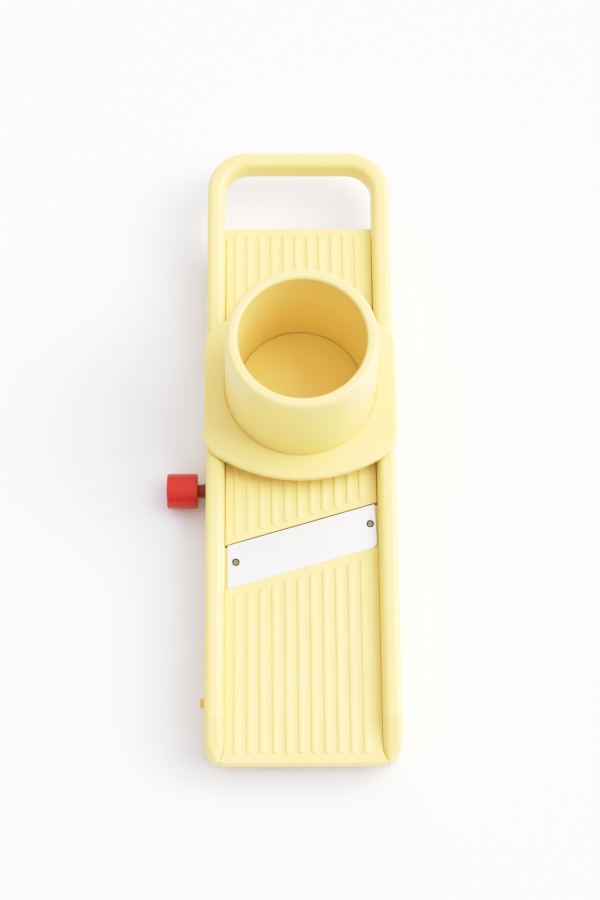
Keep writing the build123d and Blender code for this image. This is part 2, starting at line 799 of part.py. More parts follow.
def make_guard_floor():
    """Disc dropped into the guard, with blind holes for the gripping pins."""
    disc = upright(Circle(floor_room_radius - floor_edge_gap), floor_under, floor_under + floor_thickness)
    for x, y in guard_pin_places():
        hole = Pos(x, y) * Circle(guard_pin_radius)
        disc = disc - upright(hole, floor_under - overcut, floor_under + guard_pin_depth)
    return Pos(0, guard_y, 0) * disc


def guard_pin_places():
    """X and Y of the gripping pins, one in the middle and the rest in rings."""
    places = [(0.0, 0.0)]
    radius = floor_room_radius - guard_pin_edge
    for count in guard_pin_counts:
        for i in range(count):
            turn = 2 * math.pi * i / count
            places.append((radius * math.cos(turn), radius * math.sin(turn)))
        radius -= guard_pin_ring_gap
    return places


def make_guard_pins():
    """Short pointed steel pins that grip the last piece of food."""
    top = floor_under + guard_pin_depth
    tip = plate_top + rib_height + guard_pin_clearance
    point = 2 * guard_pin_radius
    pins = []
    for x, y in guard_pin_places():
        shank = upright(Pos(x, y) * Circle(guard_pin_radius), tip + point, top)
        cone = Pos(x, y, tip + point / 2) * Cone(guard_pin_tip_radius, guard_pin_radius, point)
        pins.append(Pos(0, guard_y, 0) * (shank + cone))
    return Compound(children=pins)


parts = {
    "frame": make_frame(),
    "landing_plate": make_landing_plate(),
    "landing_plate_pin": make_landing_pin(),
    "blade": make_blade(),
    "blade_screws": make_blade_screws(),
    "blade_nuts": make_blade_nuts(),
    "run_up_plate": make_run_up_plate(),
    "run_up_hinge_pin": make_pivot_pin(),
    "hinge_springs": make_hinge_springs(),
    "shaft_bush_left": make_left_bush(),
    "shaft_bush_right": make_right_bush(),
    "adjust_shaft": make_adjust_shaft(),
    "cam_left": make_cam(-1),
    "cam_right": make_cam(1),
    "cam_pins": make_cam_pins(),
    "click_wheel": make_click_wheel(),
    "click_spring": make_click_spring(),
    "shaft_clip": make_shaft_clip(),
    "thickness_knob": make_knob(),
    "knob_collar": make_collar(),
    "knob_screw": make_knob_screw(),
    "guard_shell": make_guard_shell(),
    "guard_floor": make_guard_floor(),
    "guard_pins": make_guard_pins(),
}

os.makedirs("parts", exist_ok=True)
for name, shape in parts.items():
    export_step(shape, f"parts/{name}.step")
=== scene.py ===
import math

import bmesh
import bpy
import numpy as np
from mathutils import Matrix, Vector


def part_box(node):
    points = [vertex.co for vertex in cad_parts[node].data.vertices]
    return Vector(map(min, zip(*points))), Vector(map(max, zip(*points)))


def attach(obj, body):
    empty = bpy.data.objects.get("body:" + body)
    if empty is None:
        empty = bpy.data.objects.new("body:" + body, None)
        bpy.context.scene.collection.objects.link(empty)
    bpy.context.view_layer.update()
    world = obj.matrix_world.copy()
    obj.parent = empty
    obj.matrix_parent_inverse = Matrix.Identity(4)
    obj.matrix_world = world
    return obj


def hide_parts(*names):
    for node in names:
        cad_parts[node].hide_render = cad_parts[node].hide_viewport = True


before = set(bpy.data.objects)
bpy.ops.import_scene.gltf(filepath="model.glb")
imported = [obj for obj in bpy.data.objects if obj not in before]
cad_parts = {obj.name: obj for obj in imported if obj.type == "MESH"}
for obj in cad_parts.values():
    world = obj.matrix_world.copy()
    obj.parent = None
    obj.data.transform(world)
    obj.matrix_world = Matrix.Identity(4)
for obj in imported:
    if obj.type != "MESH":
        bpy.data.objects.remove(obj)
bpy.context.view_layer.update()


# ---- Body moulding: two rails and the handle loop -------------------------------------------
# The body is one injection moulding in butter-yellow plastic, hollow underneath between webs.
# Its skin is a closed profile carried from one nose corner, round the handle loop, to the other.
# Three ties, two ledges and two spring pegs are moulded on between the rails.

body_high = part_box("frame")[1]
half_body = body_high.x
nose_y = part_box("landing_plate")[0].y
tail_y = body_high.y
body_top = body_high.z
half_channel = -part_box("shaft_bush_left")[1].x
rib_height = 0.0005
plate_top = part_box("run_up_plate")[1].z - rib_height
plate_thickness = 0.0026
plate_under = plate_top - plate_thickness
wall = 0.0024
web = 0.0024
web_spacing = 0.045
ramp_length = 0.021
nose_thickness = 0.005
nose_undercut = 0.006
nose_corner = 0.011
flare_radius = 0.009
flare_length = 0.008
tail_corner = 0.021
finger_corner = 0.013
handle_bar = 0.009
handle_under = 0.016
handle_round = 0.003
lift_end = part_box("run_up_plate")[1].y + handle_round
lift_start = lift_end - handle_under
rail_outer_round = 0.003
rail_inner_round = 0.004
foot_round = 0.0003
pocket_draft = 0.0002
foot_blend_start = 0.001
foot_blend_length = 0.0025
station_step = 0.0001
merge_gap = 0.000002
blade_angle = math.radians(16.5)
blade_slope = math.tan(blade_angle)
cut_from_nose = 0.1178
cut_y = nose_y + cut_from_nose
ear_reach = 0.0004
ear_length = 0.017
ledge_width = 0.0022
ledge_height = 0.003
spring_wire = 0.00092
peg_size = 0.0024
peg_reach = 0.007
centre_tie_width = 0.016
centre_tie_height = 0.004
tail_tie_gap = 0.017
tail_tie_width = 0.005
tail_tie_height = 0.008
nose_tie_width = 0.006
nose_tie_height = 0.0054
tie_round = 0.0005
hair = 0.00001
smooth_angle = math.radians(32)


def arc(centre_a, centre_b, radius, start, end, count):
    """Points of a circular arc: centre plus radius times cosine and sine of evenly spaced angles."""
    turn = np.radians(np.linspace(start, end, count))
    return np.stack([centre_a + radius * np.cos(turn), centre_b + radius * np.sin(turn)], -1)


def blend_step(value):
    """Smooth step: three times the square less twice the cube, with the value held between 0 and 1."""
    value = np.clip(value, 0.0, 1.0)
    return value * value * (3.0 - 2.0 * value)


def skin(name, grids, body, node):
    """One piece from grids of points: a quad per cell, meeting points merged, faces turned outwards."""
    points, faces, start = [], [], 0
    for grid in grids:
        rows, columns = grid.shape[:2]
        index = start + np.arange(rows * columns).reshape(rows, columns)
        corners = [index[:-1, :-1], index[:-1, 1:], index[1:, 1:], index[1:, :-1]]
        faces.append(np.stack(corners, -1).reshape(-1, 4))
        points.append(grid.reshape(-1, 3))
        start += rows * columns
    mesh = bpy.data.meshes.new(name)
    mesh.from_pydata(np.concatenate(points).tolist(), [], np.concatenate(faces).tolist())
    work = bmesh.new()
    work.from_mesh(mesh)
    bmesh.ops.remove_doubles(work, verts=work.verts, dist=merge_gap)
    bmesh.ops.dissolve_degenerate(work, edges=work.edges, dist=merge_gap)
    bmesh.ops.recalc_face_normals(work, faces=work.faces)
    work.to_mesh(mesh)
    work.free()
    mesh.shade_smooth()
    mesh.set_sharp_from_angle(angle=smooth_angle)
    piece = bpy.data.objects.new(name, mesh)
    bpy.context.scene.collection.objects.link(piece)
    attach(piece, body)
    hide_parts(node)
    return piece


def rounded_block(low, high, radius):
    """A ball cut in eight and pulled apart: radius times normal, plus sign times half size less radius."""
    low, high = np.array(low), np.array(high)
    quarter = np.radians(np.linspace(0.0, 90.0, 4))
    around = np.concatenate([quarter + math.pi / 2 * i for i in range(4)] + [[0.0]])
    sign_x = np.array([1.0] * 4 + [-1.0] * 8 + [1.0] * 4 + [1.0])
    sign_y = np.array([1.0] * 8 + [-1.0] * 8 + [1.0])
    upward = np.concatenate([quarter - math.pi / 2, quarter])
    sign_z = np.array([-1.0] * 4 + [1.0] * 4)
    flat = np.cos(upward)[:, None]
    reach = (high - low) / 2 - radius
    x = radius * flat * np.cos(around) + sign_x * reach[0]
    y = radius * flat * np.sin(around) + sign_y * reach[1]
    z = radius * np.sin(upward)[:, None] + sign_z[:, None] * reach[2] + 0.0 * around
    ball = np.stack([x, y, z], -1) + (low + high) / 2
    caps = [np.stack([np.broadcast_to(row.mean(0), row.shape), row]) for row in (ball[0], ball[-1])]
    return [ball] + caps


def moulded_plastic(name, colour, roughness, grain_size, grain_depth, glow):
    """Injection-moulded plastic: a slow cloudy tint, a fine spark-eroded grain, some light under the skin."""
    material = bpy.data.materials.new(name)
    material.use_nodes = True
    nodes, links = material.node_tree.nodes, material.node_tree.links
    shader = nodes["Principled BSDF"]
    place = nodes.new("ShaderNodeTexCoord")
    cloud = nodes.new("ShaderNodeTexNoise")
    cloud.inputs["Scale"].default_value = 28.0
    cloud.inputs["Detail"].default_value = 3.0
    links.new(place.outputs["Object"], cloud.inputs["Vector"])
    tint = nodes.new("ShaderNodeValToRGB")
    tint.color_ramp.elements[0].position = 0.32
    tint.color_ramp.elements[0].color = (colour[0] * 0.985, colour[1] * 0.975, colour[2] * 0.93, 1.0)
    tint.color_ramp.elements[1].position = 0.68
    tint.color_ramp.elements[1].color = (*colour, 1.0)
    links.new(cloud.outputs["Fac"], tint.inputs["Fac"])
    links.new(tint.outputs["Color"], shader.inputs["Base Color"])
    grain = nodes.new("ShaderNodeTexNoise")
    grain.inputs["Scale"].default_value = 1.0 / grain_size
    grain.inputs["Detail"].default_value = 2.0
    links.new(place.outputs["Object"], grain.inputs["Vector"])
    sheen = nodes.new("ShaderNodeMapRange")
    sheen.inputs["To Min"].default_value = roughness - 0.05
    sheen.inputs["To Max"].default_value = roughness + 0.05
    links.new(cloud.outputs["Fac"], sheen.inputs["Value"])
    links.new(sheen.outputs["Result"], shader.inputs["Roughness"])
    relief = nodes.new("ShaderNodeBump")
    relief.inputs["Strength"].default_value = 0.35
    relief.inputs["Distance"].default_value = grain_depth
    links.new(grain.outputs["Fac"], relief.inputs["Height"])
    links.new(relief.outputs["Normal"], shader.inputs["Normal"])
    shader.inputs["IOR"].default_value = 1.49
    shader.inputs["Subsurface Weight"].default_value = glow
    shader.inputs["Subsurface Radius"].default_value = (1.0, 0.62, 0.22)
    shader.inputs["Subsurface Scale"].default_value = 0.0012
    return material


def paint(piece, material):
    """Gives a piece or a carried-over part its one material."""
    piece.data.materials.clear()
    piece.data.materials.append(material)


def cut_line(x, offset=0.0):
    """Y along the blade's cutting edge at x, moved by offset towards the handle."""
    return cut_y + x * blade_slope + offset


def top_of_body(y):
    """Height of the rails' top: level, then falling evenly down each ramp to the plates' level."""
    share = np.clip((y - nose_y) / ramp_length, 0.0, 1.0)
    return plate_top + (body_top - plate_top) * share


def under_of_body(y):
    """Height of the rails' underside: nose undercut, flat feet, slope up to the handle, and the handle."""
    past_nose = np.clip((y - nose_y) / nose_undercut, 0.0, 1.0)
    undercut = (plate_top - nose_thickness) * (1.0 - past_nose)
    lift = handle_under * np.clip((y - lift_start) / (lift_end - lift_start), 0.0, 1.0)
    return undercut + lift


def outer_half(y):
    """Half width of the body's outline near the nose: straight sides that turn in on the corner arcs."""
    drop = np.clip(nose_y + nose_corner - y, 0.0, nose_corner)
    return half_body - nose_corner + np.sqrt(nose_corner ** 2 - drop ** 2)


def inner_half(y):
    """Half width of the food channel near the nose: straight rails, then the arc of the flared mouth."""
    drop = np.clip(nose_y + flare_length - y, 0.0, flare_radius)
    return half_channel + flare_radius - np.sqrt(flare_radius ** 2 - drop ** 2)


def pin_and_shaft_webs(side):
    """Solid stretches of one rail round the landing plate's pin, the thickness shaft and the hinge pin."""
    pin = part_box("landing_plate_pin")
    pin_web = (pin[0].y - wall, pin[1].y + wall)
    if side < 0:
        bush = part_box("shaft_bush_left")
        shaft_webs = [(bush[0].y - wall, bush[1].y + wall)]
    else:
        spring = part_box("click_spring")
        shaft_webs = [(spring[0].y - web, spring[0].y), (spring[1].y, spring[1].y + web)]
    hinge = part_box("run_up_hinge_pin")
    tail_web = (hinge[0].y - wall, tail_y)
    return [(nose_y, nose_y + ramp_length), pin_web] + shaft_webs + [tail_web]


def rail_pockets(side):
    """Hollow stretches of one rail: the room between its webs, shared out by thin webs where it is long."""
    webs = pin_and_shaft_webs(side)
    hollows = []
    for before, after in zip(webs, webs[1:]):
        count = int((after[0] - before[1]) // web_spacing) + 1
        edges = np.linspace(before[1] - web / 2, after[0] + web / 2, count + 1)
        hollows += [(a + web / 2, b - web / 2) for a, b in zip(edges[:-1], edges[1:])]
    return hollows


def rail_stations(side):
    """Inner and outer plan points and pocket depth of one rail, from nose tip to the handle bar's middle."""
    trial = np.linspace(nose_y, nose_y + nose_corner, 4000)
    tip = trial[np.argmax(outer_half(trial) > inner_half(trial))]
    crowding = 1.6
    corner = tip + (nose_y + nose_corner - tip) * np.linspace(0.0, 1.0, 22) ** crowding
    crease = nose_y + ramp_length + np.array([-4, -1, 1, 4]) * station_step
    steps = []
    for near, far in rail_pockets(side):
        steps += [near, near + pocket_draft, far - pocket_draft, far]
    lift = np.concatenate([lift_start + np.array([-3, 3]) * station_step,
                           lift_end + np.array([-40, -3, 3, 20]) * station_step])
    ramp = np.linspace(corner[-1], crease[0], 6)[1:-1]
    straight = np.sort(np.concatenate([corner[1:], ramp, crease, steps, lift]))
    inner_end = tail_y - handle_bar - finger_corner
    outer_end = tail_y - tail_corner
    past = np.linspace(straight[-1], inner_end, 5)[1:]
    y_inner = np.concatenate([[tip], straight, past])
    shift = (outer_end - inner_end) * np.arange(1, 5) / 4
    y_outer = np.concatenate([[tip], straight, past + shift])
    bend = np.linspace(180.0, 90.0, 29)[1:]
    turn = np.radians(bend)
    inner_arc = np.stack([-half_channel + finger_corner + finger_corner * np.cos(turn),
                          inner_end + finger_corner * np.sin(turn)], -1)
    outer_arc = np.stack([-half_body + tail_corner + tail_corner * np.cos(turn),
                          outer_end + tail_corner * np.sin(turn)], -1)
    inner = np.concatenate([np.stack([-inner_half(y_inner), y_inner], -1), inner_arc,
                            [[0.0, tail_y - handle_bar]]])
    outer = np.concatenate([np.stack([-outer_half(y_outer), y_outer], -1), outer_arc, [[0.0, tail_y]]])
    depth = np.zeros(len(inner))
    for near, far in rail_pockets(side):
        depth[:len(y_inner)] += (y_inner > near + pocket_draft / 2) & (y_inner < far - pocket_draft / 2)
    flip = np.array([-side, 1.0])
    return inner * flip, outer * flip, depth


def body_section(inner, outer, depth):
    """Closed profile at each station: the inner plan point plus a share of the way out, and a height."""
    span = np.linalg.norm(outer - inner, axis=-1)[:, None]
    y = (inner[:, 1:] + outer[:, 1:]) / 2
    top, under = top_of_body(y), under_of_body(y)
    tall = top - under
    inside = np.minimum(rail_inner_round, np.minimum(0.5 * span, 0.6 * tall))
    outside = np.minimum(rail_outer_round, np.minimum(0.42 * span, 0.6 * tall))
    to_handle = blend_step((y - lift_end + foot_blend_start) / foot_blend_length)
    foot = foot_round + (handle_round - foot_round) * to_handle
    foot = np.minimum(foot, 0.2 * span)
    quarter = np.radians(np.linspace(0.0, 90.0, 9))
    cos, sin = np.cos(quarter)[None], np.sin(quarter)[None]
    pocket_in = np.minimum(np.maximum(wall, foot), 0.48 * span)
    pocket_out = span - pocket_in
    ceiling = under + depth[:, None] * (body_top - wall - under)
    draft = pocket_draft * depth[:, None]
    across = [foot * (1.0 - sin), inside * (1.0 - cos), span - outside * (1.0 - sin),
              span - foot * (1.0 - cos), pocket_out, pocket_out - draft, pocket_in + draft, pocket_in, foot]
    height = [under + foot * (1.0 - cos), top - inside * (1.0 - sin), top - outside * (1.0 - cos),
              under + foot * (1.0 - sin), under, ceiling, ceiling, under, under]
    across = np.concatenate(across, 1) / np.maximum(span, 1e-9)
    height = np.concatenate(height, 1)
    plan = inner[:, None] + across[..., None] * (outer - inner)[:, None]
    return np.concatenate([plan, height[..., None]], -1)


left_rail = body_section(*rail_stations(-1))
right_rail = body_section(*rail_stations(1))
body_grids = [left_rail, right_rail]
hinge_low, hinge_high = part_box("run_up_hinge_pin")
hinge_y = (hinge_low.y + hinge_high.y) / 2
hinge_z = (hinge_low.z + hinge_high.z) / 2
hinge_radius = (hinge_high.z - hinge_low.z) / 2
spring_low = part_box("hinge_springs")[0]
peg_under = spring_low.z + spring_wire
tail_tie_y = hinge_y - tail_tie_gap
nose_tie_y = nose_y + nose_undercut
channel = half_channel + tie_round
body_grids += rounded_block((-channel, -centre_tie_width / 2, 0.0),
                            (channel, centre_tie_width / 2, centre_tie_height), tie_round)
body_grids += rounded_block((-channel, tail_tie_y, 0.0),
                            (channel, tail_tie_y + tail_tie_width, tail_tie_height), tie_round)
body_grids += rounded_block((-channel, nose_tie_y, plate_under - nose_tie_height),
                            (channel, nose_tie_y + nose_tie_width, plate_under - hair), tie_round)
for side in (-1, 1):
    ledge_x = np.sort(side * np.array([channel, half_channel - ledge_width]))
    ledge_far = cut_line(ledge_x[0], -ear_reach - ear_length)
    body_grids += rounded_block((ledge_x[0], nose_tie_y, plate_under - ledge_height),
                                (ledge_x[1], ledge_far, plate_under - hair), foot_round)
    peg_x = np.sort(side * np.array([channel, half_channel - peg_reach]))
    body_grids += rounded_block((peg_x[0], spring_low.y, peg_under),
                                (peg_x[1], spring_low.y + peg_size, peg_under + peg_size), foot_round)
body_moulding = skin("body_moulding", body_grids, "body", "frame")
butter = (0.95, 0.74, 0.27)
body_plastic = moulded_plastic("body_plastic", butter, 0.32, 0.00035, 0.00003, 0.08)
paint(body_moulding, body_plastic)


# ---- Landing plate: the ribbed floor behind the blade ------------------------------------------
# A second moulding in the same plastic, dropped between the rails onto their ledges. It carries
# the blade's bed, an ear under each end of the blade and the nose lip, and two lugs take its pin.

side_gap = 0.00005
sheet_edge = 0.0003
rib_half = 0.001075
rib_flank = 0.0003
rib_margin_left = 0.00555
rib_margin_right = 0.00795
rib_count = 11
rib_x = np.linspace(-half_channel + rib_margin_left, half_channel - rib_margin_right, rib_count)
blade_width = 0.0209
blade_span = blade_width / math.cos(blade_angle)
blade_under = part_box("blade")[0].z
rib_nose_margin = 0.0055
rib_blade_margin = 0.005
lip_round = 0.0012
ear_width = 0.010
ear_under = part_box("blade_nuts")[1].z
bed_middle = 0.015
bed_reach = 0.008
heel_steps = (0.0035, 0.002, 0.0008, 0.0002, 0.0)
mouth_start = 0.9
mouth_run_out = 0.003
cheek_draw = 0.0004
flank_steps = np.linspace(-1.0, 1.0, 9)
edge_steps = 1.0 - np.cos(np.radians(np.linspace(0.0, 90.0, 5)))


def stepped_cut_line(x, offset=0.0):
    """The cutting edge's line made square across each rib: level over a rib, straight from rib to rib."""
    reach = rib_half + 2 * rib_flank
    rim = np.array([-half_body, half_body])
    knots = np.sort(np.concatenate([rim, rib_x - reach, rib_x + reach]))
    levels = np.sort(np.concatenate([cut_line(rim), np.repeat(cut_line(rib_x), 2)]))
    return np.interp(x, knots, levels) + offset


def rib_relief(x, y, starts, ends):
    """Height of the ribs: a smooth step up each flank times smooth steps at both ends, the largest of all."""
    across = blend_step((rib_half + rib_flank - np.abs(x[..., None] - rib_x)) / (2 * rib_flank))
    near = blend_step((y[..., None] - starts + rib_flank) / (2 * rib_flank))
    far = blend_step((ends - y[..., None] + rib_flank) / (2 * rib_flank))
    return rib_height * (across * near * far).max(-1)


def plate_columns(half):
    """Places across a plate, close together at the sides' round edges and at each rib's two flanks."""
    flanks = np.concatenate([-rib_half + flank_steps * rib_flank, [0.0], rib_half + flank_steps * rib_flank])
    flanks = (rib_x[:, None] + flanks).ravel()
    sides = half * np.linspace(mouth_start, 0.99, 10)
    edge = half - sheet_edge * edge_steps
    return np.sort(np.concatenate([-edge, -sides, flanks, sides, edge]))


def slab(top, under):
    """A closed plate from its upper and its lower grid, joined by four strips along their rims."""
    rims = [(top[0], under[0]), (top[-1], under[-1]), (top[:, 0], under[:, 0]), (top[:, -1], under[:, -1])]
    return [top, under] + [np.stack(rim) for rim in rims]


def edge_drop(distance, radius):
    """How far a rounded edge has fallen: radius less the circle's height at that distance from the rim."""
    inside = np.clip(radius - distance, 0.0, radius)
    return radius - np.sqrt(radius ** 2 - inside ** 2)


def slanted_block(x, near, far, low, high):
    """A block between two X and two heights; its near and far faces run parallel to the cutting edge."""
    plan_x = np.broadcast_to(np.sort(x), (2, 2))
    plan_y = cut_line(plan_x, np.array([[near], [far]]))
    top = np.stack([plan_x, plan_y, np.full((2, 2), high)], -1)
    under = np.stack([plan_x, plan_y, np.full((2, 2), low)], -1)
    return slab(top, under)


def lug(x, y, z, radius, top, width):
    """An ear below a plate, carried along X: half a round eye below the pin's axis, straight cheeks above."""
    eye = arc(y, z, radius, -180.0, 0.0, 25)
    outline = np.concatenate([eye, [[y + radius, top], [y - radius, top], [y - radius, z]]])
    middle = outline.mean(0)
    drawn_in = 1.0 - cheek_draw / radius
    nearly = 0.3 * drawn_in + 0.7
    places = x + np.array([-0.5, -0.5, -0.47, -0.42, 0.42, 0.47, 0.5, 0.5]) * width
    sizes = np.array([0.0, drawn_in, nearly, 1.0, 1.0, nearly, drawn_in, 0.0])
    plan = middle + sizes[:, None, None] * (outline - middle)
    along = np.broadcast_to(places[:, None, None], plan.shape[:2] + (1,))
    return [np.concatenate([along, plan], -1)]


def landing_plate_grids():
    """Rows run square at the nose and slanted at the blade's heel, past which the bed is a step down."""
    half = half_channel - side_gap
    columns = plate_columns(half)
    lip = lip_round * (1.0 - np.cos(np.radians(np.linspace(0.0, 90.0, 8))))
    mouth = np.linspace(lip_round, rib_nose_margin - 2 * rib_flank, 6)[1:]
    rib_start = rib_nose_margin + flank_steps * rib_flank
    inland = [nose_undercut - hair, nose_undercut + hair, flare_length, flare_length + mouth_run_out]
    near = np.concatenate([lip, mouth, rib_start, inland])[:, None]
    spread = np.sign(columns) * np.clip(np.abs(columns) / half - mouth_start, 0.0, 1.0) / (1.0 - mouth_start)
    fade = np.clip(1.0 - near / nose_corner, 0.0, 1.0)
    y = nose_y + near + 0.0 * columns
    for _ in range(16):
        x = columns + spread * (inner_half(y) - half_channel)
        turned_in = np.clip(np.abs(x) - half_body + nose_corner, 0.0, nose_corner)
        y = nose_y + near + fade * (nose_corner - np.sqrt(nose_corner ** 2 - turned_in ** 2))
    rib_stop = -blade_span - rib_blade_margin
    rib_end = [stepped_cut_line(columns, rib_stop + step * rib_flank) for step in flank_steps]
    heel = [cut_line(columns, -blade_span - step) for step in heel_steps]
    bed = [cut_line(columns, offset) for offset in (-blade_span + hair, -bed_middle, -bed_reach)]
    run = [y[-1] + t * (rib_end[0] - y[-1]) for t in np.linspace(0.0, 1.0, 14)[1:-1]]
    far = np.stack(run + rib_end + heel + bed)
    x = np.concatenate([x, np.broadcast_to(columns, far.shape)])
    y = np.concatenate([y, far])
    depth = np.concatenate([near + 0.0 * columns, np.ones(far.shape)])
    ends = cut_line(rib_x, rib_stop)
    z = plate_top + rib_relief(x, y, nose_y + rib_nose_margin, ends)
    z = z - np.maximum(edge_drop(half - np.abs(columns), sheet_edge), edge_drop(depth, lip_round))
    z[-len(bed):] = blade_under
    low = np.where(depth < nose_undercut, plate_top - nose_thickness, plate_under)
    return slab(np.stack([x, y, z], -1), np.stack([x, y, low], -1))


landing_grids = landing_plate_grids()
pin_low, pin_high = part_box("landing_plate_pin")
pin_y = (pin_low.y + pin_high.y) / 2
pin_z = (pin_low.z + pin_high.z) / 2
lug_width = 0.006
lug_wall = 0.0015
lug_inset = 0.008
pin_radius = 0.0018
for side in (-1, 1):
    landing_grids += lug(side * (half_channel - lug_inset), pin_y, pin_z, pin_radius + lug_wall,
                         plate_under, lug_width)
    ear_x = side * np.array([half_channel - side_gap, half_channel - ear_width])
    landing_grids += slanted_block(ear_x, -ear_reach - ear_length, -ear_reach,
                                   ear_under, blade_under - hair)
landing_moulding = skin("landing_plate_moulding", landing_grids, "body", "landing_plate")
paint(landing_moulding, body_plastic)


# ---- Landing plate pin ---------------------------------------------------------------------------
# A plain moulded pin pushed in from the left rail, through both lugs, into the right rail.
# Its domed head stands out of the left rail as a small stub.


def turned(profile, centre, upright=False, steps=96):
    """Each profile point, an axial place and a radius, goes once round an axis along X, or Z if upright."""
    turn = np.linspace(0.0, 2 * math.pi, steps + 1)
    profile = np.array(profile)
    along = np.broadcast_to(profile[:, :1], (len(profile), len(turn)))
    first = centre[0] + profile[:, 1:] * np.cos(turn)
    second = centre[1] + profile[:, 1:] * np.sin(turn)
    order = [first, second, along] if upright else [along, first, second]
    return [np.stack(order, -1)]


head_radius = (pin_high.z - pin_low.z) / 2
head_round = 0.0006
head_edge = arc(pin_low.x + head_round, head_radius - head_round, head_round, 180.0, 90.0, 9)
pin_profile = np.concatenate([[[pin_low.x, 0.0]], head_edge,
                              [[-half_body, head_radius], [-half_body, pin_radius],
                               [pin_high.x, pin_radius], [pin_high.x, 0.0]]])
landing_pin = skin("landing_plate_cross_pin", turned(pin_profile, (pin_y, pin_z)), "body",
                   "landing_plate_pin")
# The pin is the body's yellow made darker and deeper: painted shade, as its head sits low under the rail.
pin_plastic_painted_shade = moulded_plastic("pin_plastic_painted_shade", (0.88, 0.60, 0.16), 0.40, 0.0003, 0.00004, 0.08)
paint(landing_pin, pin_plastic_painted_shade)


# ---- Blade, its two screws and their nuts --------------------------------------------------------
# A strip of stainless steel lies in its bed, set slantwise, ground from below along its far edge.
# Two countersunk screws go down through the ears into hexagon nuts.


def ground_steel(name, colour, roughness, turn, line_length, line_width):
    """Steel with fine lines: noise stretched along one direction drives tint, gloss and relief."""
    material = bpy.data.materials.new(name)
    material.use_nodes = True
    nodes, links = material.node_tree.nodes, material.node_tree.links
    shader = nodes["Principled BSDF"]
    place = nodes.new("ShaderNodeTexCoord")
    along = nodes.new("ShaderNodeMapping")
    along.inputs["Rotation"].default_value = (0.0, 0.0, -turn)
    along.inputs["Scale"].default_value = (1.0 / line_length, 1.0 / line_width, 1.0 / line_width)
    links.new(place.outputs["Object"], along.inputs["Vector"])
    lines = nodes.new("ShaderNodeTexNoise")
    lines.inputs["Scale"].default_value = 1.0
    lines.inputs["Detail"].default_value = 4.0
    links.new(along.outputs["Vector"], lines.inputs["Vector"])
    tint = nodes.new("ShaderNodeValToRGB")
    tint.color_ramp.elements[0].position = 0.3
    tint.color_ramp.elements[0].color = (colour[0] * 0.94, colour[1] * 0.94, colour[2] * 0.94, 1.0)
    tint.color_ramp.elements[1].position = 0.7
    tint.color_ramp.elements[1].color = (*colour, 1.0)
    links.new(lines.outputs["Fac"], tint.inputs["Fac"])
    links.new(tint.outputs["Color"], shader.inputs["Base Color"])
    gloss = nodes.new("ShaderNodeMapRange")
    gloss.inputs["To Min"].default_value = roughness - 0.06
    gloss.inputs["To Max"].default_value = roughness + 0.06
    links.new(lines.outputs["Fac"], gloss.inputs["Value"])
    links.new(gloss.outputs["Result"], shader.inputs["Roughness"])
    relief = nodes.new("ShaderNodeBump")
    relief.inputs["Strength"].default_value = 0.25
    relief.inputs["Distance"].default_value = 0.00001
    links.new(lines.outputs["Fac"], relief.inputs["Height"])
    links.new(relief.outputs["Normal"], shader.inputs["Normal"])
    shader.inputs["Metallic"].default_value = 1.0
    return material


blade_steel = ground_steel("blade_steel", (0.88, 0.89, 0.87), 0.46, blade_angle, 0.02, 0.00012)
paint(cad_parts["blade"], blade_steel)
screw_low, screw_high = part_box("blade_screws")
screw_radius = 0.00195
painted_reflection_radius = 0.0011


def screw_steel_painted_light(name, shade_colour, reflection_colour, centres):
    """Steel heads with painted shade at the rim and a painted tan reflection in the middle, by nearest-centre
    distance.
    """
    material = ground_steel(name, shade_colour, 0.42, 0.0, 0.0006, 0.0001)
    nodes, links = material.node_tree.nodes, material.node_tree.links
    place = nodes.new("ShaderNodeTexCoord")
    nearest = nodes.new("ShaderNodeMath")
    nearest.operation = "MINIMUM"
    for slot_number, centre in enumerate(centres):
        distance = nodes.new("ShaderNodeVectorMath")
        distance.operation = "DISTANCE"
        distance.inputs[1].default_value = centre
        links.new(place.outputs["Object"], distance.inputs[0])
        links.new(distance.outputs["Value"], nearest.inputs[slot_number])
    share = nodes.new("ShaderNodeMapRange")
    share.inputs["From Min"].default_value = painted_reflection_radius
    share.inputs["From Max"].default_value = painted_reflection_radius * 1.3
    links.new(nearest.outputs["Value"], share.inputs["Value"])
    ramp = nodes.new("ShaderNodeValToRGB")
    ramp.color_ramp.elements[0].color = (*reflection_colour, 1.0)
    ramp.color_ramp.elements[1].color = (*shade_colour, 1.0)
    links.new(share.outputs["Result"], ramp.inputs["Fac"])
    links.new(ramp.outputs["Color"], nodes["Principled BSDF"].inputs["Base Color"])
    return material


# Painted light on the screws: a dark rim of painted shade and a tan middle of painted reflection.
screw_centres = [(screw_low.x + screw_radius, screw_low.y + screw_radius, screw_high.z),
                 (screw_high.x - screw_radius, screw_high.y - screw_radius, screw_high.z)]
screw_painted_shade = (0.07, 0.06, 0.05)
screw_painted_reflection = (0.34, 0.27, 0.19)
blade_screw_painted_light = screw_steel_painted_light("blade_screw_painted_light", screw_painted_shade, screw_painted_reflection, screw_centres)
paint(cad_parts["blade_screws"], blade_screw_painted_light)
nut_steel = ground_steel("nut_steel", (0.55, 0.54, 0.51), 0.35, 0.0, 0.004, 0.0001)
paint(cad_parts["blade_nuts"], nut_steel)


# ---- Run-up plate: the ribbed floor in front of the blade ----------------------------------------
# The moving moulding that sets how thick a slice is. It hinges on a pin near the handle and rests
# on two cams. A rib below its throat edge and one below each side keep it straight.

throat_gap = 0.0008
throat_margin = 0.0035
tail_margin = 0.004
stiffener_depth = 0.0026
stiffener_width = 0.002
stiffener_start = 0.008
stiffener_stop = 0.034
pivot_lug_inset = 0.01925


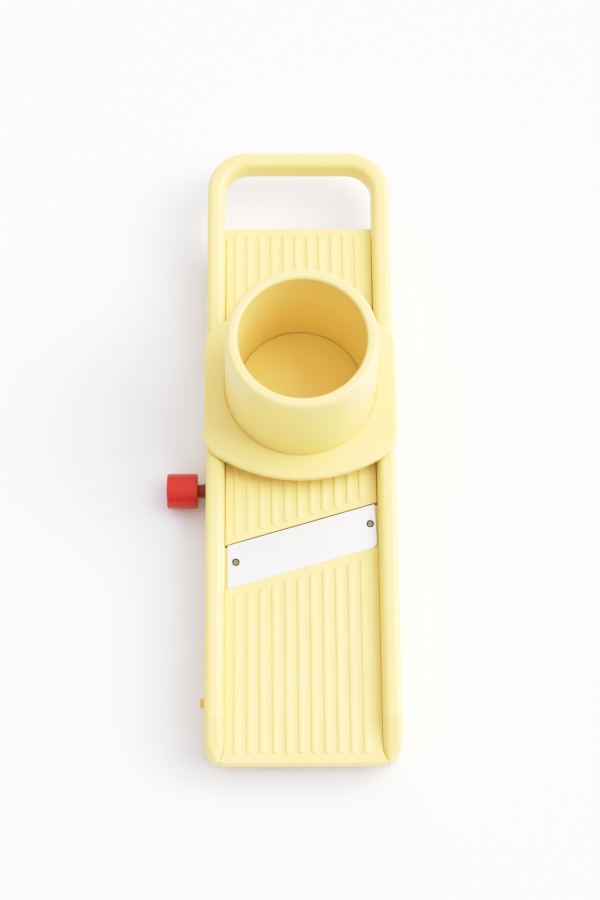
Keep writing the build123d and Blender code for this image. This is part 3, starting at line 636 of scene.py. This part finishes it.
def run_up_grids():
    """Rows follow the cutting edge at the throat, run square at the tail, shared evenly in between."""
    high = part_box("run_up_plate")[1]
    columns = plate_columns(high.x)
    edge = sheet_edge * edge_steps
    throat = [cut_line(columns, throat_gap + distance) for distance in edge]
    rib_start = throat_gap + throat_margin
    start = [stepped_cut_line(columns, rib_start + step * rib_flank) for step in flank_steps]
    finish = [np.full_like(columns, high.y - tail_margin + step * rib_flank) for step in flank_steps]
    run = [start[-1] + t * (finish[0] - start[-1]) for t in np.linspace(0.0, 1.0, 16)[1:-1]]
    tail = [np.full_like(columns, high.y - distance) for distance in edge[::-1]]
    y = np.stack(throat + start + run + finish + tail)
    x = np.broadcast_to(columns, y.shape)
    starts = cut_line(rib_x, rib_start)
    rim = np.minimum(np.minimum(high.x - np.abs(x), y - y[0]), high.y - y)
    z = plate_top + rib_relief(x, y, starts, high.y - tail_margin) - edge_drop(rim, sheet_edge)
    return slab(np.stack([x, y, z], -1), np.stack([x, y, np.full(y.shape, plate_under)], -1))


run_up_pieces = run_up_grids()
run_up_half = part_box("run_up_plate")[1].x
stiffener_under = plate_under - stiffener_depth
run_up_pieces += slanted_block(run_up_half * np.array([-1, 1]), throat_gap, throat_gap + stiffener_width,
                               stiffener_under, plate_under + hair)
for side in (-1, 1):
    stiffener_x = np.sort(side * np.array([run_up_half, run_up_half - stiffener_width]))
    stiffener_end = hinge_y - stiffener_stop
    run_up_pieces += rounded_block((stiffener_x[0], stiffener_start, stiffener_under),
                                   (stiffener_x[1], stiffener_end, plate_under + side_gap), foot_round)
    run_up_pieces += lug(side * (half_channel - pivot_lug_inset), hinge_y, hinge_z,
                         hinge_radius + lug_wall, plate_under + hair, lug_width)
run_up_moulding = skin("run_up_moulding", run_up_pieces, "run_up", "run_up_plate")
paint(run_up_moulding, body_plastic)


# ---- Hinge pin and its two springs ---------------------------------------------------------------
# A ground steel pin crosses both rails below the run-up plate's tail. Two wound wire springs ride on
# it: one leg of each lies under a peg on the rail, the other pushes the plate down onto the cams.

proud = 0.00006
hinge_end = hinge_high.x + proud
pin_edge = 0.0002
hinge_profile = [(hinge_low.x, 0.0), (hinge_low.x, hinge_radius), (hinge_end - pin_edge, hinge_radius),
                 (hinge_end, hinge_radius - pin_edge), (hinge_end, 0.0)]
hinge_pin = skin("hinge_pin", turned(hinge_profile, (hinge_y, hinge_z), steps=48), "body",
                 "run_up_hinge_pin")
pin_steel = ground_steel("pin_steel", (0.60, 0.60, 0.58), 0.30, 0.0, 0.006, 0.00008)
paint(hinge_pin, pin_steel)
wire_radius = spring_wire / 2
coil_radius = 0.0023
coil_turns = 6.25
coil_inset = 0.0045
coil_start = half_channel - coil_inset
coil_length = 0.006
leg_bend = 0.0012
far_leg = 0.0038


def spring_path(side):
    """Middle line of a spring: a straight leg, a coil of even pitch round the pin, a bend and a short leg."""
    share = np.linspace(0.0, 1.0, 252)
    turn = np.radians(-90.0 + 360.0 * coil_turns * share)
    coil = np.stack([side * (coil_start - coil_length * share), hinge_y + coil_radius * np.cos(turn),
                     hinge_z + coil_radius * np.sin(turn)], -1)
    leg_y = np.linspace(spring_low.y, hinge_y, 12)[:-1]
    leg = np.stack([np.full(11, side * coil_start), leg_y, np.full(11, hinge_z - coil_radius)], -1)
    bend = arc(hinge_y + coil_radius + leg_bend, hinge_z + coil_radius - leg_bend, leg_bend, 180.0, 90.0, 10)
    bend = np.column_stack([np.full(10, side * (coil_start - coil_length)), bend])
    end = bend[-1] + [0.0, far_leg - coil_radius - leg_bend, 0.0]
    return np.concatenate([leg, coil, bend, [end]])


def wire(path, radius):
    """A round wire along a path: the path's point plus the radius times a circle square to its direction."""
    ahead = np.gradient(path, axis=0)
    ahead /= np.linalg.norm(ahead, axis=-1)[:, None]
    across = np.array([1.0, 0.0, 0.0]) - ahead[:, :1] * ahead
    across /= np.linalg.norm(across, axis=-1)[:, None]
    beside = np.cross(ahead, across)
    turn = np.linspace(0.0, 2 * math.pi, 13)[:, None]
    ring = np.cos(turn) * across[:, None] + np.sin(turn) * beside[:, None]
    tube = path[:, None] + radius * ring
    caps = [np.stack([np.broadcast_to(path[i], tube[i].shape), tube[i]]) for i in (0, -1)]
    return [tube] + caps


spring_grids = wire(spring_path(-1), wire_radius) + wire(spring_path(1), wire_radius)
wound_springs = skin("wound_springs", spring_grids, "body", "hinge_springs")
spring_steel = ground_steel("spring_steel", (0.52, 0.52, 0.50), 0.32, 0.0, 0.003, 0.0001)
paint(wound_springs, spring_steel)


# ---- Thickness shaft, its two bearings, cams and clicks ------------------------------------------
# A ground steel shaft turns in two white bearings. Two cams, pinned through their hubs, carry the
# run-up plate. In the right rail a notched wheel, held by an open clip, clicks under a leaf spring.

bush_low, bush_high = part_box("shaft_bush_left")
shaft_y = (bush_low.y + bush_high.y) / 2
shaft_z = (bush_low.z + bush_high.z) / 2
bush_radius = (bush_high.z - bush_low.z) / 2
bush_bore = 0.00255
white_plastic = moulded_plastic("white_plastic", (0.83, 0.82, 0.77), 0.38, 0.0004, 0.00003, 0.12)
for node in ("shaft_bush_left", "shaft_bush_right"):
    bush_low, bush_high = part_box(node)
    start, end = bush_low.x - proud, bush_high.x + proud
    bush_profile = [(start, bush_bore), (start, bush_radius - pin_edge), (start + pin_edge, bush_radius),
                    (end - pin_edge, bush_radius), (end, bush_radius - pin_edge), (end, bush_bore),
                    (start, bush_bore)]
    bearing = skin(node.replace("bush", "bearing"), turned(bush_profile, (shaft_y, shaft_z)), "body",
                   node)
    paint(bearing, white_plastic)
for node in ("cam_left", "cam_right", "click_wheel"):
    paint(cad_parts[node], white_plastic)
shaft_steel = ground_steel("shaft_steel", (0.66, 0.66, 0.64), 0.26, math.radians(90), 0.004, 0.00008)
paint(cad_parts["adjust_shaft"], shaft_steel)
paint(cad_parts["cam_pins"], pin_steel)
paint(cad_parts["click_spring"], spring_steel)
paint(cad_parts["shaft_clip"], spring_steel)


# ---- Red knob, its screw and the collar darkened as painted shade --------------------------------
# The knob is a plain round red moulding pushed on the shaft's end and held by a slotted screw sunk in
# its face. A collar with a lip at each end keeps it clear of the rail; its deeper red is painted shade.

knob_low, knob_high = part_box("thickness_knob")
knob_radius = (knob_high.z - knob_low.z) / 2
knob_round = 0.001
recess_radius = 0.0027
recess_depth = 0.0018
recess_round = 0.0003
recess_edge = arc(knob_low.x + recess_round, recess_radius + recess_round, recess_round, -90.0, -180.0, 5)
outer_edge = arc(knob_low.x + knob_round, knob_radius - knob_round, knob_round, 180.0, 90.0, 10)
inner_edge = arc(knob_high.x - knob_round, knob_radius - knob_round, knob_round, 90.0, 0.0, 10)
recess_floor = knob_low.x + recess_depth
knob_profile = np.concatenate([[[recess_floor, 0.0], [recess_floor, recess_radius]],
                               recess_edge, outer_edge, inner_edge, [[knob_high.x, 0.0]]])
red_knob = skin("red_knob", turned(knob_profile, (shaft_y, shaft_z), steps=128), "adjuster",
                "thickness_knob")
knob_plastic = moulded_plastic("knob_plastic", (0.58, 0.010, 0.011), 0.24, 0.0004, 0.00003, 0.06)
paint(red_knob, knob_plastic)
paint(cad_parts["knob_screw"], nut_steel)
collar_low, collar_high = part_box("knob_collar")
collar_large = 0.0037
collar_small = 0.0033
collar_lip = 0.0005
collar_neck = 0.00022
collar_edge = 0.0001
collar_profile = [(collar_low.x, 0.0), (collar_low.x, collar_small - collar_edge),
                  (collar_low.x + collar_edge, collar_small), (collar_low.x + collar_lip, collar_small),
                  (collar_low.x + collar_lip + collar_edge, collar_small - collar_neck / 2),
                  (collar_high.x - collar_lip - collar_edge, collar_large - collar_neck),
                  (collar_high.x - collar_lip, collar_large), (collar_high.x - collar_edge, collar_large),
                  (collar_high.x, collar_large - collar_edge), (collar_high.x, 0.0)]
collar_in_painted_shade = skin("collar_in_painted_shade", turned(collar_profile, (shaft_y, shaft_z)), "adjuster",
                   "knob_collar")
# The collar's red is much deeper than the knob's: painted shade for the shadow between knob and rail.
collar_plastic = moulded_plastic("collar_plastic", (0.26, 0.006, 0.006), 0.30, 0.0003, 0.00003, 0.02)
paint(collar_in_painted_shade, collar_plastic)


# ---- Hand guard shell: flange, cup and skirt -----------------------------------------------------
# One thick moulding in the body's yellow, made a touch paler as painted light. Its flange slides on the
# rails, its cup shields the fingers and its skirt drops into the food channel. A lip at the foot of the skirt
# carries the floor.

guard_low, guard_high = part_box("guard_shell")
disc_low, disc_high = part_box("guard_floor")
flange_half = guard_high.x
flange_y = (guard_low.y + guard_high.y) / 2
flange_half_length = (guard_high.y - guard_low.y) / 2
flange_gap = 0.0003
flange_under = body_top + flange_gap
flange_thickness = 0.0035
flange_top = flange_under + flange_thickness
flange_end_radius = 0.074
flange_corner = 0.014
flange_top_round = 0.0016
flange_bottom_round = 0.001
cup_y = (disc_low.y + disc_high.y) / 2
cup_bore_inset = 0.00685
cup_bore = half_channel - cup_bore_inset
cup_wall_thickness = 0.0056
cup_rim = cup_bore + cup_wall_thickness
cup_flare = 0.0013
cup_foot = cup_rim + cup_flare
skirt_gap = 0.00085
skirt_radius = half_channel - skirt_gap
skirt_wall = 0.0052
room_radius = skirt_radius - skirt_wall
rim_outer = 0.0022
rim_inner = 0.0016
foot_groove = 0.0004
skirt_edge = 0.0004
floor_lip = 0.0296


def flange_outline():
    """Points and outward directions of the flange: two straight sides, four corner arcs, two bowed ends."""
    bow_y = flange_end_radius - flange_half_length
    corner_x = flange_half - flange_corner
    reach = flange_end_radius - flange_corner
    corner_y = math.sqrt(reach ** 2 - corner_x ** 2) - bow_y
    meet = math.degrees(math.asin(math.sqrt(reach ** 2 - corner_x ** 2) / reach))
    side_y = np.linspace(-corner_y, corner_y, 21)[1:-1]
    corner_turn = np.linspace(0.0, meet, 21)
    end_turn = np.linspace(meet, 180.0 - meet, 49)[1:-1]
    far = np.concatenate([corner_turn, end_turn, 180.0 - corner_turn[::-1]])
    direction = np.stack([np.cos(np.radians(far)), np.sin(np.radians(far))], -1)
    centres = np.concatenate([np.tile([corner_x, corner_y], (21, 1)), np.tile([0.0, -bow_y], (47, 1)),
                              np.tile([-corner_x, corner_y], (21, 1))])
    radii = np.repeat([flange_corner, flange_end_radius, flange_corner], [21, 47, 21])
    end = centres + radii[:, None] * direction
    side = np.stack([np.full(19, flange_half), side_y], -1)
    out = np.tile([1.0, 0.0], (19, 1))
    points = np.concatenate([side, end, -side, -end, side[:1]])
    directions = np.concatenate([out, direction, -out, -direction, out[:1]])
    return points + [0.0, flange_y], directions


def guard_grid():
    """Rows on circles round the cup's axis, on the drawn-in outline of the flange, then on circles again."""
    points, directions = flange_outline()
    away = points - [0.0, cup_y]
    away /= np.linalg.norm(away, axis=-1)[:, None]

    def circle(radius, z):
        """The cup's axis plus a radius times each direction, at one height."""
        return np.column_stack([radius * away + [0.0, cup_y], np.full(len(away), z)])

    def outline(inset, z):
        """The flange's outline less an inset times its outward direction, at one height."""
        return np.column_stack([points - inset * directions, np.full(len(away), z)])

    bore_z = np.linspace(flange_under, guard_high.z - rim_inner, 9)
    bore = room_radius - (room_radius - cup_bore) * (bore_z - flange_under) / (guard_high.z - flange_under)
    inner_rim = arc(cup_bore + rim_inner, guard_high.z - rim_inner, rim_inner, 180.0, 90.0, 12)
    outer_rim = arc(cup_rim - rim_outer, guard_high.z - rim_outer, rim_outer, 90.0, 2.0, 14)
    wall_z = np.linspace(guard_high.z - rim_outer, flange_top + 0.0002, 9)[1:]
    cup_wall = cup_foot - (cup_foot - cup_rim) * (wall_z - flange_top) / (guard_high.z - flange_top)
    rows = [circle(floor_lip, guard_low.z), circle(floor_lip, disc_low.z), circle(room_radius, disc_low.z)]
    rows += [circle(radius, z) for radius, z in zip(bore, bore_z)]
    rows += [circle(radius, z) for radius, z in inner_rim]
    rows += [circle(radius, z) for radius, z in outer_rim]
    rows += [circle(radius, z) for radius, z in zip(cup_wall, wall_z)]
    for outward, downward in ((0.0, 0.6), (0.4, 1.0), (1.0, 0.6), (1.3, 0.0)):
        rows.append(circle(cup_foot + foot_groove * outward, flange_top - foot_groove * downward))
    inner_row = rows[-1]
    outer_row = outline(flange_top_round, flange_top)
    rows += [inner_row + t * (outer_row - inner_row) for t in np.linspace(0.0, 1.0, 7)[1:-1]]
    top_edge = arc(flange_top_round, flange_top - flange_top_round, flange_top_round, 90.0, 0.0, 10)
    rows += [outline(2 * flange_top_round - inset, z) for inset, z in top_edge]
    under_z = flange_under + flange_bottom_round
    under_edge = arc(flange_bottom_round, under_z, flange_bottom_round, 0.0, -90.0, 8)
    rows += [outline(2 * flange_bottom_round - inset, z) for inset, z in under_edge]
    outer_row = rows[-1]
    inner_row = circle(skirt_radius, flange_under)
    rows += [outer_row + t * (inner_row - outer_row) for t in np.linspace(0.0, 1.0, 6)[1:]]
    skirt = arc(skirt_radius - skirt_edge, guard_low.z + skirt_edge, skirt_edge, 0.0, -90.0, 5)
    rows += [circle(radius, z) for radius, z in skirt]
    rows += [circle(floor_lip, guard_low.z)]
    return np.stack(rows)


guard_moulding = skin("guard_moulding", [guard_grid()], "guard", "guard_shell")
# The guard's plastic is the body's yellow made a touch paler: painted light for the cup's brighter walls.
guard_plastic = moulded_plastic("guard_plastic", (0.96, 0.755, 0.29), 0.30, 0.00035, 0.00002, 0.08)
paint(guard_moulding, guard_plastic)


# ---- Guard floor and its gripping pins -----------------------------------------------------------
# A loose disc in the same plastic drops onto the skirt's lip. Sixteen short pointed steel pins are
# pressed into it from below, one in the middle and the rest in two rings, to hold the last slice.

disc_radius = (disc_high.x - disc_low.x) / 2
disc_edge = 0.0005
disc_rim = arc(disc_high.z - disc_edge, disc_radius - disc_edge, disc_edge, 90.0, 0.0, 6)
disc_profile = np.concatenate([[[disc_low.z, 0.0], [disc_low.z, disc_radius]], disc_rim,
                               [[disc_high.z, 0.0]]])
floor_disc = skin("floor_disc", turned(disc_profile, (0.0, cup_y), upright=True, steps=160), "guard",
                  "guard_floor")
# The disc shares the guard's paler plastic and so its painted light.
paint(floor_disc, guard_plastic)
spike_low, spike_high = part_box("guard_pins")
spike_radius = 0.00075
spike_tip = 0.00015
spike_profile = [(spike_low.z, 0.0), (spike_low.z, spike_tip), (spike_low.z + 2 * spike_radius, spike_radius),
                 (spike_high.z, spike_radius), (spike_high.z, 0.0)]
spike_grids = turned(spike_profile, (0.0, cup_y), upright=True, steps=24)
ring_margin = 0.008
ring_spacing = 0.011
ring_radius = room_radius - ring_margin
for count in (10, 5):
    for turn in 2 * math.pi * np.arange(count) / count:
        spike_place = (ring_radius * math.cos(turn), cup_y + ring_radius * math.sin(turn))
        spike_grids += turned(spike_profile, spike_place, upright=True, steps=24)
    ring_radius -= ring_spacing
gripping_pins = skin("gripping_pins", spike_grids, "guard", "guard_pins")
paint(gripping_pins, pin_steel)


# ---- Table, studio light and camera -----------------------------------------------------------
# The slicer lies on a plain pale sweep. One broad soft light stands high on the right and behind,
# and the white room fills the rest. The camera looks down at it from the nose end.

floor_half = 20.0
floor_mesh = bpy.data.meshes.new("pale_floor")
floor_mesh.from_pydata([(-floor_half, -floor_half, 0), (floor_half, -floor_half, 0),
                        (floor_half, floor_half, 0), (-floor_half, floor_half, 0)], [], [(0, 1, 2, 3)])
pale_floor = bpy.data.objects.new("pale_floor", floor_mesh)
bpy.context.scene.collection.objects.link(pale_floor)
floor_paint = bpy.data.materials.new("pale_floor")
floor_paint.use_nodes = True
floor_shader = floor_paint.node_tree.nodes["Principled BSDF"]
floor_shader.inputs["Base Color"].default_value = (0.93, 0.93, 0.93, 1.0)
floor_shader.inputs["Roughness"].default_value = 0.9
floor_shader.inputs["Specular IOR Level"].default_value = 0.1
floor_mesh.materials.append(floor_paint)

sky_level = 0.42
sky_rise = (0.12, 0.22, 0.85)
room = bpy.data.worlds.new("white_room")
room.use_nodes = True
room.node_tree.nodes["Background"].inputs["Color"].default_value = (1.0, 1.0, 1.0, 1.0)
sky = room.node_tree.nodes
sky_links = room.node_tree.links
direction = sky.new("ShaderNodeTexCoord")
lean = sky.new("ShaderNodeVectorMath")
lean.operation = "DOT_PRODUCT"
lean.inputs[1].default_value = sky_rise
sky_links.new(direction.outputs["Generated"], lean.inputs[0])
brightness = sky.new("ShaderNodeMath")
brightness.operation = "ADD"
brightness.inputs[1].default_value = sky_level
sky_links.new(lean.outputs["Value"], brightness.inputs[0])
sky_links.new(brightness.outputs["Value"], sky["Background"].inputs["Strength"])
bpy.context.scene.world = room

key_azimuth = math.radians(8)
key_elevation = math.radians(45)
key_softness = math.radians(50)
key = bpy.data.lights.new("soft_key", "SUN")
key.energy = 2.93
key.angle = key_softness
soft_key = bpy.data.objects.new("soft_key", key)
bpy.context.scene.collection.objects.link(soft_key)
towards_key = Vector((math.cos(key_elevation) * math.cos(key_azimuth),
                      math.cos(key_elevation) * math.sin(key_azimuth), math.sin(key_elevation)))
soft_key.rotation_mode = "QUATERNION"
soft_key.rotation_quaternion = towards_key.to_track_quat("Z", "Y")

pitch = math.radians(69.05)
yaw = math.radians(-2.869)
roll = math.radians(2.508)
camera_distance = 1.0285
aim = Vector((-0.00046, -0.00571, body_top))
back = Vector((math.sin(yaw) * math.cos(pitch), -math.cos(yaw) * math.cos(pitch), math.sin(pitch)))
level = Vector((math.cos(yaw), math.sin(yaw), 0.0))
raised = back.cross(level)
right = math.cos(roll) * level + math.sin(roll) * raised
upright = math.cos(roll) * raised - math.sin(roll) * level
stand = aim + camera_distance * back
lens = bpy.data.cameras.new("camera")
lens.sensor_fit = "VERTICAL"
lens.sensor_height = 36.0
lens.lens = 84.17
camera = bpy.data.objects.new("camera", lens)
bpy.context.scene.collection.objects.link(camera)
camera.matrix_world = Matrix(((right.x, upright.x, back.x, stand.x), (right.y, upright.y, back.y, stand.y),
                              (right.z, upright.z, back.z, stand.z), (0.0, 0.0, 0.0, 1.0)))
bpy.context.scene.camera = camera

# Bright tones roll off softly towards white, and the mid tones gain a little blue.
grading = bpy.context.scene.view_settings
grading.view_transform = "Standard"
grading.use_curve_mapping = True
brightest = 1.7
tone = grading.curve_mapping
tone.white_level = (brightest, brightest, brightest)
tone_points = ((0.1, 0.1), (0.35, 0.35), (0.62, 0.6), (0.86, 0.765), (1.25, 0.885), (1.53, 0.97))
white = tone.curves[3]
white.points[0].location = (0.0, 0.0)
white.points[1].location = (1.0, 1.0)
for scene_value, shown_value in tone_points:
    white.points.new(scene_value / brightest, shown_value)
blue_points = ((0.075, 0.065), (0.20, 0.215), (0.42, 0.47), (0.60, 0.64), (0.885, 0.905))
blue = tone.curves[2]
for shown_value, cooled_value in blue_points:
    blue.points.new(shown_value, cooled_value).handle_type = "AUTO_CLAMPED"
tone.update()
